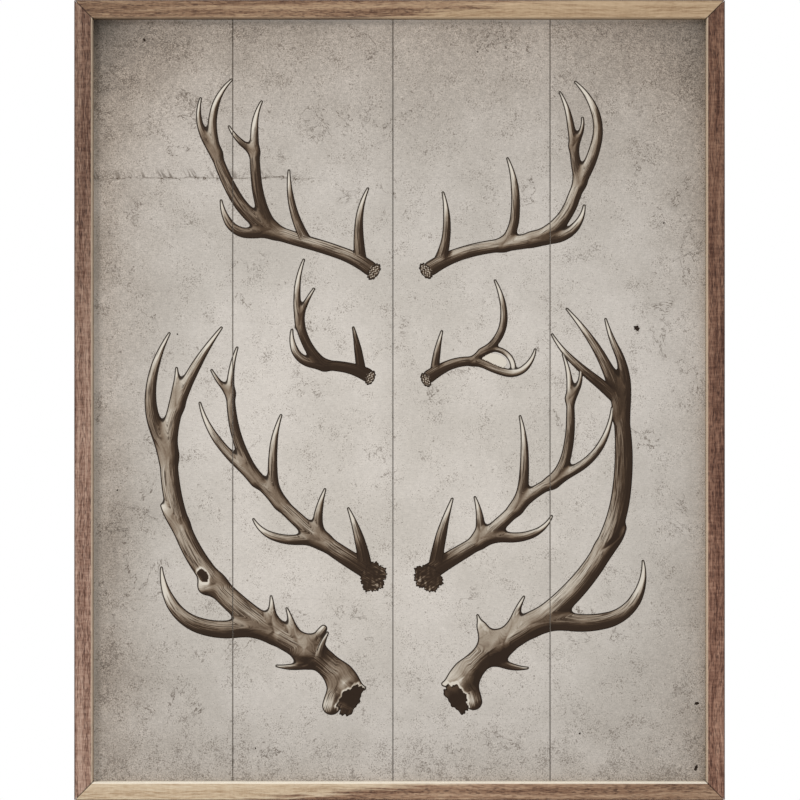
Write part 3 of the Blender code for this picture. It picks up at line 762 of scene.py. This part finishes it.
def draw_antler(x, z, web, burr, strokes, marks=(), stains=()):
    """One antler's fields: edge (below 0 inside), depth from the nearest drawn line, tone from 0
    dark to 1 pale, the ways along and across that its streaks follow, and how clear they are. A
    stain (x, z, reach, share) darkens the tone by an eased share that falls to nought at its reach.
    A mark (x, z, heading, half length, half width) is a scar with a pale rim."""
    base, over, made = Page(x, z), [], {}
    for name, start, length, headings, radii, *front in strokes:
        along = 0.0
        if isinstance(start[0], str):
            start, along = made[start[0]].at(start[1])
        stroke = made[name] = Stroke(start, length, headings, radii, along)
        if front:
            page = Page(x, z)
            page.run_in(stroke, 1.0)
            over.append((page, stroke))
        else:
            base.run_in(stroke, web)
    edge, depth, tone = base.edge.copy(), -base.edge, base.tone()
    along, across, clear = base.along.copy(), base.across.copy(), base.clear.copy()
    for page, stroke in over:
        way = page.along - stroke.along
        full = np.maximum(ease(1.0, 9.0, way), ease(-1.0, 0.5, base.edge))
        share = np.where(page.edge < 0, full, 0)
        shadow = ease(3.5, 0.0, page.edge) * ease(2.0, 9.0, way) * (page.edge >= 0)
        tone = tone * (1 - 0.6 * shadow * (page.across < 0))
        depth, tone = blend(depth, -page.edge, share), blend(tone, page.tone(), share)
        along = np.where(share > 0.5, page.along, along)
        across = np.where(share > 0.5, page.across, across)
        clear = blend(clear, 1, share)
        edge = np.minimum(edge, page.edge)
    bx, bz, heading, half_long, half_wide, kind = burr
    px, pz = np.meshgrid(x, z)
    stain, lobes, seed = BURRS[kind]
    rim, u, v = oval(px, pz, (bx, bz), heading, half_long, half_wide, lobes, seed)
    tone = tone * (1 - stain * ease(3.6 * half_wide, half_wide, np.hypot(px - bx, pz - bz)))
    for sx, sz, reach, share in stains:
        tone = tone * (1 - share * ease(reach, 0.3 * reach, np.hypot(px - sx, pz - sz)))
    if kind == "pearled":
        pearls = ease(-0.1, 0.8, np.cos(u * 3.3 + np.sin(v * 2.0)) * np.cos(v * 3.0))
        inner = 0.26 + 0.62 * pearls
    elif kind == "ragged":
        lumps = 0.5 + 0.5 * np.sin(v * 1.3 + np.sin(u * 0.9) * 1.6) * np.cos(u * 0.8 + np.sin(v * 0.7))
        inner = 0.17 + (0.16 + 0.30 * ease(1.0, -0.8 * half_long, u)) * ease(0.25, 0.95, lumps)
    else:
        inner = 0.08 + 0.26 * ease(-0.3 * half_wide, 0.9 * half_wide, v + 0.8 * np.sin(u))
        tone = tone + 0.40 * ease(1.7, 0.4, rim)
    for mx, mz, turn, long, wide in marks:
        scar, _, v = oval(px, pz, (mx, mz), turn, long, wide, ((2, 0.08), (5, 0.05)), 21)
        tone = np.where(scar < 0, 0.10 + 0.25 * ease(0.0, wide, v), tone + 0.30 * ease(1.6, 0.2, scar))
    inside = rim < 0
    tone = np.where(inside, inner, tone)
    depth = np.where(inside, -rim, depth)
    edge = np.minimum(edge, rim)
    return edge, depth, tone, along, across, clear


def draw_print(x, z):
    """All the antlers and specks on one page: at each point the fields of the shape whose edge
    lies nearest."""
    page = {key: np.zeros((len(z), len(x))) for key in INK_FIELDS}
    page["edge"] = np.full((len(z), len(x)), NO_INK)
    for design in ANTLERS.values():
        fields = dict(zip(("edge", *INK_FIELDS), draw_antler(x, z, **design)))
        nearer = fields["edge"] < page["edge"]
        page = {key: np.where(nearer, fields[key], page[key]) for key in page}
    px, pz = np.meshgrid(x, z)
    eye, _, _ = oval(px, pz, EYE[:2], EYE_TURN, *EYE[2:], ((2, 0.03),), 3)
    inside = (eye < 0) & (page["edge"] > 0)
    page["tone"] = np.where(inside, 1.0, page["tone"])
    page["depth"] = np.where(inside, 9.0, page["depth"])
    page["edge"] = np.minimum(page["edge"], eye)
    for number, (sx, sz, size) in enumerate(SPECKS):
        rim, _, _ = oval(px, pz, (sx, sz), 35 * number, size, size * 0.7, ((2, 0.2), (5, 0.2)), number)
        page["tone"] = np.where(rim < 0, 0.0, page["tone"])
        page["depth"] = np.where(rim < 0, 0.0, page["depth"])
        page["edge"] = np.minimum(page["edge"], rim)
    page["tone"] = np.clip(page["tone"], 0, 1)
    return page


def shape_cells(inside):
    """The outline of a shape on a lattice, cell by cell. Walking round a cell from its lower left
    corner, the polygon takes each corner that is inside and each side whose ends differ. Points are
    numbered: lattice points first, then crossings of level sides, then crossings of upright ones.
    Returns one array of polygons for each of the 15 kinds of cell."""
    rows, columns = inside.shape
    point = np.arange(rows * columns).reshape(rows, columns)
    level = rows * columns + np.arange(rows * (columns - 1)).reshape(rows, columns - 1)
    upright = level.size + rows * columns + np.arange((rows - 1) * columns).reshape(rows - 1, columns)
    corners = (inside[:-1, :-1], inside[:-1, 1:], inside[1:, 1:], inside[1:, :-1])
    numbers = (point[:-1, :-1], point[:-1, 1:], point[1:, 1:], point[1:, :-1])
    sides = (level[:-1], upright[:, 1:], level[1:], upright[:, :-1])
    kind = sum(corner.astype(int) << k for k, corner in enumerate(corners))
    polygons = []
    for code in range(1, 16):
        cells = kind == code
        if cells.any():
            bits = [code >> k & 1 for k in range(4)]
            walk = []
            for k in range(4):
                walk += [numbers[k][cells]] * bits[k]
                walk += [sides[k][cells]] * (bits[k] != bits[(k + 1) % 4])
            polygons.append(np.stack(walk, 1))
    return polygons


def build_ink(name, page, x, z, board, finish):
    """The ink on one board: a low closed pad whose rim follows the drawing's edge. Its outline is
    where the larger of the drawing's edge distance and the board's own is nought, its rim lies just
    off the board and its top rises by an eased share of the depth."""
    low, high = [corner / MM for corner in BOARD_BOXES[board]]
    columns = slice(*np.searchsorted(x, [low[0] - INK_PITCH, high[0] + INK_PITCH]))
    x = x[columns]
    fields = {key: values[:, columns] for key, values in page.items()}
    clip = np.maximum(low[0] + INK_INSET - x, x - high[0] + INK_INSET)[None]
    edge = np.maximum(fields["edge"], np.broadcast_to(clip, fields["edge"].shape))
    edge[[0, -1]] = 1.0
    inside = edge < 0
    px, pz = np.meshgrid(x, z)
    points = {"x": px, "z": pz, "rise": ease(0.0, INK_RISE, -edge)}
    points.update({key: fields[key] for key in INK_FIELDS})

    def crossings(ahead, behind):
        """Where the edge distance passes nought between two neighbours, by their straight line. The
        fields there are the inner neighbour's, but the depth is carried along the line."""
        a, b = edge[behind], edge[ahead]
        share = np.clip(a / np.where(np.abs(a - b) < 1e-9, 1.0, a - b), 0.08, 0.92)
        near = np.where(a < 0, 0.0, 1.0)
        shares = {"x": share, "z": share, "depth": share}
        made = {key: blend(points[key][behind], points[key][ahead], shares.get(key, near)) for key in points}
        return {**made, "rise": np.zeros(share.shape)}

    every = slice(None)
    level = crossings((every, slice(1, None)), (every, slice(None, -1)))
    upright = crossings((slice(1, None), every), (slice(None, -1), every))
    whole = {
        key: np.concatenate([part[key].ravel() for part in (points, level, upright)])
        for key in points
    }
    top = shape_cells(inside)
    used = np.unique(np.concatenate([polygon.ravel() for polygon in top]))
    renumber = np.zeros(len(whole["x"]), int)
    renumber[used] = np.arange(len(used))
    top = [renumber[polygon] for polygon in top]
    whole = {key: values[used] for key, values in whole.items()}
    middle = used < px.size                      # lattice points have a twin underneath
    twin = np.arange(len(used))
    twin[middle] = len(used) + np.arange(middle.sum())
    under = [twin[polygon[:, ::-1]] for polygon in top]
    rim = PRINT_FRONT - INK_LIFT
    upper = np.stack([whole["x"] * MM, rim - INK_BODY * whole["rise"], whole["z"] * MM + MIDDLE_Z], 1)
    lower = upper[middle] + np.array([[0, 1, 0]]) * INK_BODY * whole["rise"][middle, None]
    places = np.concatenate([upper, lower])
    start, end = places.min(0), places.max(0)
    split = (start[2] + end[2]) / 2

    def chart(polygon, flipped):
        """The pad's top in two halves side by side, and its underside in a strip at the right."""
        corners = places[polygon]
        across = (corners[..., 0] - start[0]) / (end[0] - start[0])
        up = (corners[..., 2] - start[2]) / (end[2] - start[2])
        if flipped:
            return np.stack([0.955 + 0.04 * across, 0.01 + 0.98 * up], -1).reshape(-1, 2)
        high_half = corners[..., 2].mean(1)[:, None] > split
        u = np.where(high_half, 0.005, 0.480) + 0.465 * across
        v = 0.006 + 0.988 * (2 * up - np.where(high_half, 1, 0)).clip(-0.005, 1.005)
        return np.stack([u, v], -1).reshape(-1, 2)

    chart_all = [chart(polygon, False) for polygon in top] + [chart(polygon, True) for polygon in under]
    pad = build_mesh(
        name, places, top + under, [finish], loops_uv=np.concatenate(chart_all), crease=180,
        fields={
            "ink_" + key: np.concatenate([whole[key], whole[key][middle]])
            for key in INK_FIELDS
        },
    )
    return fit(pad)


# ---------------------------------------------------------------- the fixings on the back

def turned(name, spot, section, finish, columns, shape=None):
    """A section of (radius, height) points carried round an axis that runs along Y from the spot:
    the point at angle t lies radius * cos t across, radius * sin t down and height along. shape, if
    given, moves the grid's radius and height by the angle."""
    radius, height = [column[:, None] * np.ones((1, columns)) for column in np.array(section, float).T]
    angle = np.linspace(0, 2 * math.pi, columns, endpoint=False)[None] * np.ones((len(section), 1))
    if shape:
        radius, height = shape(radius, height, angle)
    points = np.stack([
        spot[0] + MM * radius * np.cos(angle),
        spot[1] + MM * height,
        spot[2] - MM * radius * np.sin(angle),
    ], -1).reshape(-1, 3)
    return build_mesh(name, points, [*tube_faces(len(section), columns)], [finish])


SCREW_SIDES, BUMPER_SIDES = 56, 64
CROSS_DEPTH = 1.5        # mm that the cross recess sinks
THREAD_PITCH, THREAD_HEIGHT = 1.8, 0.42


def screw_shape(radius, height, angle):
    """A cross recess in the head and a thread on the shank: the head's face sinks where the
    point lies in either arm of the cross, and the shank's radius grows by a ridge where the
    angle and the height's share of the pitch agree."""
    u, v = np.abs(radius * np.cos(angle)), np.abs(radius * np.sin(angle))
    arm = np.maximum(ease(0.72, 0.42, u) * ease(2.2, 1.7, v), ease(0.72, 0.42, v) * ease(2.2, 1.7, u))
    sunk = height - CROSS_DEPTH * arm * (height > -0.3)
    ridge = np.maximum(np.cos(angle + 2 * math.pi * height / THREAD_PITCH), 0) ** 2
    threaded = ease(-5.0, -7.0, height) * ease(-23.8, -21.0, height)
    return radius + THREAD_HEIGHT * ridge * threaded, sunk


def build_screws(finish):
    """Eight countersunk screws whose heads face the wall."""
    flat = 3.05                                  # radius of the head's face, in mm
    head = [(r, -0.02 * (r / flat) ** 2) for r in np.linspace(0.02, flat, 26)]
    cone = [(3.30, -0.06), (3.42, -0.16), (3.42, -0.30), (2.9, -0.95), (2.2, -1.75), (1.60, -2.5)]
    shank = [(1.45, h) for h in np.linspace(-3.2, -20.5, 78)] + [(1.2, -21.6), (0.7, -22.9), (0.15, -23.9)]
    section = (head + cone + shank)[::-1]
    for row in ("upper", "lower"):
        for number in range(1, 5):
            node = "board_screw_%s_%d" % (row, number)
            low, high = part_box(node)
            spot = ((low[0] + high[0]) / 2, high[1], (low[2] + high[2]) / 2)
            name = node.replace("board", "countersunk")
            screw = turned(name, spot, section, finish, SCREW_SIDES, screw_shape)
            fit(screw, node)


def build_bumpers(finish):
    """Two self-adhesive bumpers: a low dome, flat where it meets the rail and slightly flattened
    where it meets the wall."""
    for side in ("left", "right"):
        node = "bumper_" + side
        low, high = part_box(node)
        reach, rise = (high[0] - low[0]) / 2 / MM, (high[1] - low[1]) / MM
        t = np.linspace(0, math.pi / 2, 22)
        dome = [(reach * math.cos(a) ** 0.55, rise * math.sin(a) ** 0.9) for a in t[2:-1]]
        base = [(0.02, 0.0), (reach * 0.5, 0.0), (reach * 0.97, 0.0), (reach, 0.06)]
        section = base + dome + [(0.02, rise)]
        spot = ((low[0] + high[0]) / 2, low[1], (low[2] + high[2]) / 2)
        fit(turned("rubber_" + node, spot, section, finish, BUMPER_SIDES), node)


# ---------------------------------------------------------------- put together

page_x = np.arange(PRINT_LEFT / MM, PRINT_RIGHT / MM + INK_PITCH, INK_PITCH)
page_z = np.arange((PRINT_FOOT - MIDDLE_Z) / MM, (PRINT_TOP - MIDDLE_Z) / MM + INK_PITCH, INK_PITCH)
page = draw_print(page_x, page_z)
ground, ink = print_finish(), ink_finish()
BOARD_WOOD = (paint(176, 142, 102), paint(208, 181, 143), paint(222, 200, 166))
PINE = (paint(186, 142, 92), paint(216, 185, 138), paint(229, 205, 165))
for number, board in enumerate(BOARDS):
    build_board(board, ground, bare_wood_finish("bare_" + board, "Z", BOARD_WOOD, 2.0 + 1.7 * number))
    build_ink(board.replace("board", "antler_ink"), page, page_x, page_z, board, ink)

WALNUT_LEFT = (paint(100, 66, 51), paint(158, 125, 108), paint(194, 164, 146))
WALNUT_RIGHT = (paint(84, 50, 36), paint(142, 104, 86), paint(181, 143, 121))
WALNUT_TOP = (paint(96, 67, 49), paint(144, 114, 89), paint(174, 146, 117),
              paint(152, 123, 93), paint(182, 156, 125), paint(198, 173, 142))
WALNUT_FOOT = (paint(104, 72, 54), paint(152, 119, 95), paint(186, 156, 129),
               paint(176, 148, 117), paint(208, 186, 157), paint(222, 205, 179))
# Painted highlights for the rails' inner edges: the foot rail's wall faces up and takes the palest, strongest
# one.
RIM_HIGHLIGHT = paint(226, 208, 182)
RAIL_FINISHES = {
    "rail_left": ("walnut_left", WALNUT_LEFT, (-0.41, -0.06, 0.42), (RIM_HIGHLIGHT, 0.60), None, 1.0),
    "rail_right": ("walnut_right", WALNUT_RIGHT, (-0.50, -0.10, 0.40), (RIM_HIGHLIGHT, 0.60), None, 2.3),
    "rail_top": ("walnut_top", WALNUT_TOP, (0.0, -0.20, 0.14), (RIM_HIGHLIGHT, 0.12), (0.050, -9.4, 1), 3.7),
    "rail_bottom": ("walnut_foot", WALNUT_FOOT, (0.05, 0.20, 0.14), (paint(252, 243, 226), 0.95),
                    (0.040, 10.0, -1), 5.1),
}
for rail, (name, *looks) in RAIL_FINISHES.items():
    refinish(walnut_finish(name, rail, *looks), rail)
refinish(bare_wood_finish("pine_upper", "X", PINE, 4.0, ((0.110, -0.083, 0.0034),)), "batten_upper")
refinish(bare_wood_finish("pine_lower", "X", PINE, 6.5, ((-0.095, -0.428, 0.0040), (0.018, -0.441, 0.0022))),
         "batten_lower")
zinc = zinc_finish()
refinish(zinc, "hanger_plate", "hanger_nail_left", "hanger_nail_right")
refinish(zinc, *[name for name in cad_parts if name.startswith(("rail_nail", "corner_wedge"))])
build_screws(zinc)
build_bumpers(rubber_finish())


# ---------------------------------------------------------------- studio

def build_floor():
    """A plain pale disc well below the frame: rings of a grid at even radii, nearly flat."""
    rings, sides, reach, drop = 24, 96, 3.2, 1.0
    radii, turns = np.linspace(0.01, reach, rings), np.linspace(0, 2 * math.pi, sides, endpoint=False)
    r, a = np.meshgrid(radii, turns, indexing="ij")
    points = np.stack([r * np.cos(a), r * np.sin(a), np.full(r.shape, MIDDLE_Z - drop)], -1).reshape(-1, 3)
    f = Finish("floor_paint", roughness=0.8, specular=0.2)
    cloud = f.noise(f.place(), 6.0)
    f.put("Base Color", cloud.ramp((0.3, paint(226, 225, 222)), (0.7, paint(232, 231, 228))))
    faces = [grid_quads(rings, sides, wrap=True), np.arange(sides)[None, ::-1]]
    ob = build_mesh("floor", points, faces, [f.material])


def build_light(name, place, size, power):
    """A square soft light that faces the middle of the print."""
    light = bpy.data.lights.new(name, "AREA")
    light.size, light.energy = size, power
    ob = bpy.data.objects.new(name, light)
    ob.location = Vector((0, PRINT_FRONT, MIDDLE_Z)) + Vector(place)
    ob.rotation_euler = (-Vector(place)).to_track_quat("-Z", "Y").to_euler()
    bpy.context.scene.collection.objects.link(ob)


build_floor()
build_light("key", place=(-1.20, -1.30, 1.10), size=0.6, power=16.0)

# The room is white, and lights the object a little less than it shows
SKY_LIGHT = 0.77
world = bpy.data.worlds.new("studio")
world.use_nodes = True
bpy.context.scene.world = world
sky = world.node_tree
seen, lit = sky.nodes["Background"], sky.nodes.new("ShaderNodeBackground")
for background, strength in ((seen, 1.0), (lit, SKY_LIGHT)):
    background.inputs["Color"].default_value = WHITE
    background.inputs["Strength"].default_value = strength
ray, pick = sky.nodes.new("ShaderNodeLightPath"), sky.nodes.new("ShaderNodeMixShader")
for number, output in enumerate((ray.outputs["Is Camera Ray"], lit.outputs[0], seen.outputs[0])):
    sky.links.new(output, pick.inputs[number])
sky.links.new(pick.outputs[0], sky.nodes["World Output"].inputs["Surface"])

CAMERA_AWAY = 1.5        # from the front of the rails
VIEW_WIDTH = 0.5307      # that the view takes in at that plane
SENSOR = 36.0
NUDGE = (0.0003, 0.0001)   # right and up, which centres the frame
lens = bpy.data.cameras.new("camera")
lens.sensor_width, lens.lens = SENSOR, SENSOR * CAMERA_AWAY / VIEW_WIDTH
camera = bpy.data.objects.new("camera", lens)
camera.location = (NUDGE[0], RAIL_FRONT - CAMERA_AWAY, MIDDLE_Z + NUDGE[1])
camera.rotation_euler = (math.pi / 2, 0, 0)
bpy.context.scene.collection.objects.link(camera)
bpy.context.scene.camera = camera
bpy.context.scene.view_settings.view_transform = "Standard"
